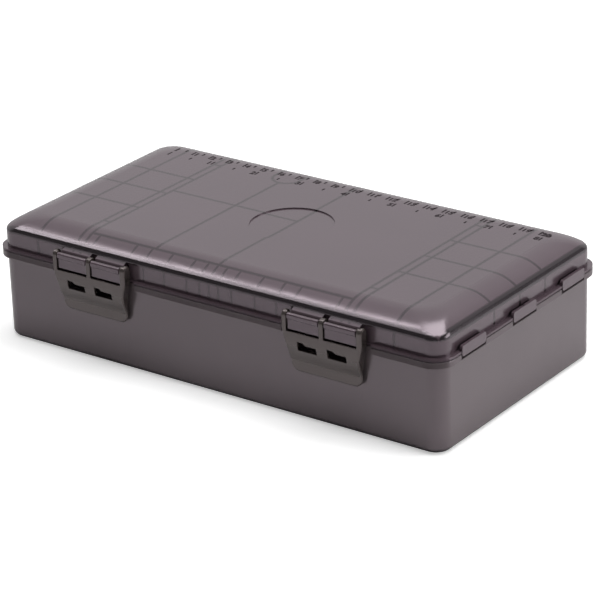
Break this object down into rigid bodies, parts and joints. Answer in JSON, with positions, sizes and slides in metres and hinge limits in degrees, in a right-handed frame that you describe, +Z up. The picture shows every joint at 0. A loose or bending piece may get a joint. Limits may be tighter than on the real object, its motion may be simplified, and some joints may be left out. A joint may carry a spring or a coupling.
{
  "type": "tackle box",
  "caption": "Shallow moulded tackle box with a crowned hinged lid, front flap latches and removable slotted dividers inside.",
  "frame": {"origin": "middle of the flat underside of the tray", "axes": "+X along the case's length towards the viewer's right when the latches face the viewer, -Y towards the latches, +Z up"},
  "size_m": [0.2406, 0.1354, 0.058],
  "materials": {
    "case_plastic": "dark smoke with a soft gloss, taken to be polypropylene",
    "lid_plastic": "dark smoke with a soft gloss, taken to be polypropylene",
    "latch_plastic": "dark smoke with a soft gloss, taken to be polypropylene",
    "divider_plastic": "dark smoke with a soft gloss, taken to be polypropylene",
    "pin_steel": "plain drawn steel"
  },
  "bodies": {
    "case": {"base_tray": "case_plastic", "centre_divider": "divider_plastic", "forked_divider": "divider_plastic", "centre_cross_divider": "divider_plastic", "front_rail": "divider_plastic", "bank_divider_left": "divider_plastic", "bank_divider_right": "divider_plastic", "cross_divider_left_rear": "divider_plastic", "cross_divider_left_middle": "divider_plastic", "cross_divider_left_front": "divider_plastic", "cross_divider_right_rear": "divider_plastic", "cross_divider_right_middle": "divider_plastic", "cross_divider_right_front": "divider_plastic", "needle_rack": "divider_plastic", "hinge_pin_left": "pin_steel", "hinge_pin_middle": "pin_steel", "hinge_pin_right": "pin_steel"},
    "lid": {"lid": "lid_plastic"},
    "latch_left": {"latch_left": "latch_plastic"},
    "latch_right": {"latch_right": "latch_plastic"}
  },
  "joints": [
    {"name": "lid_hinge", "type": "hinge", "parent": "case", "child": "lid", "pos_m": [0, 0.0662, 0.0427], "axis": [-1, 0, 0], "range_deg": [0, 180]},
    {"name": "latch_left_hinge", "type": "hinge", "parent": "lid", "child": "latch_left", "pos_m": [-0.0623, -0.0643, 0.0487], "axis": [-1, 0, 0], "range_deg": [0, 120]},
    {"name": "latch_right_hinge", "type": "hinge", "parent": "lid", "child": "latch_right", "pos_m": [0.0623, -0.0643, 0.0487], "axis": [-1, 0, 0], "range_deg": [0, 120]}
  ]
}
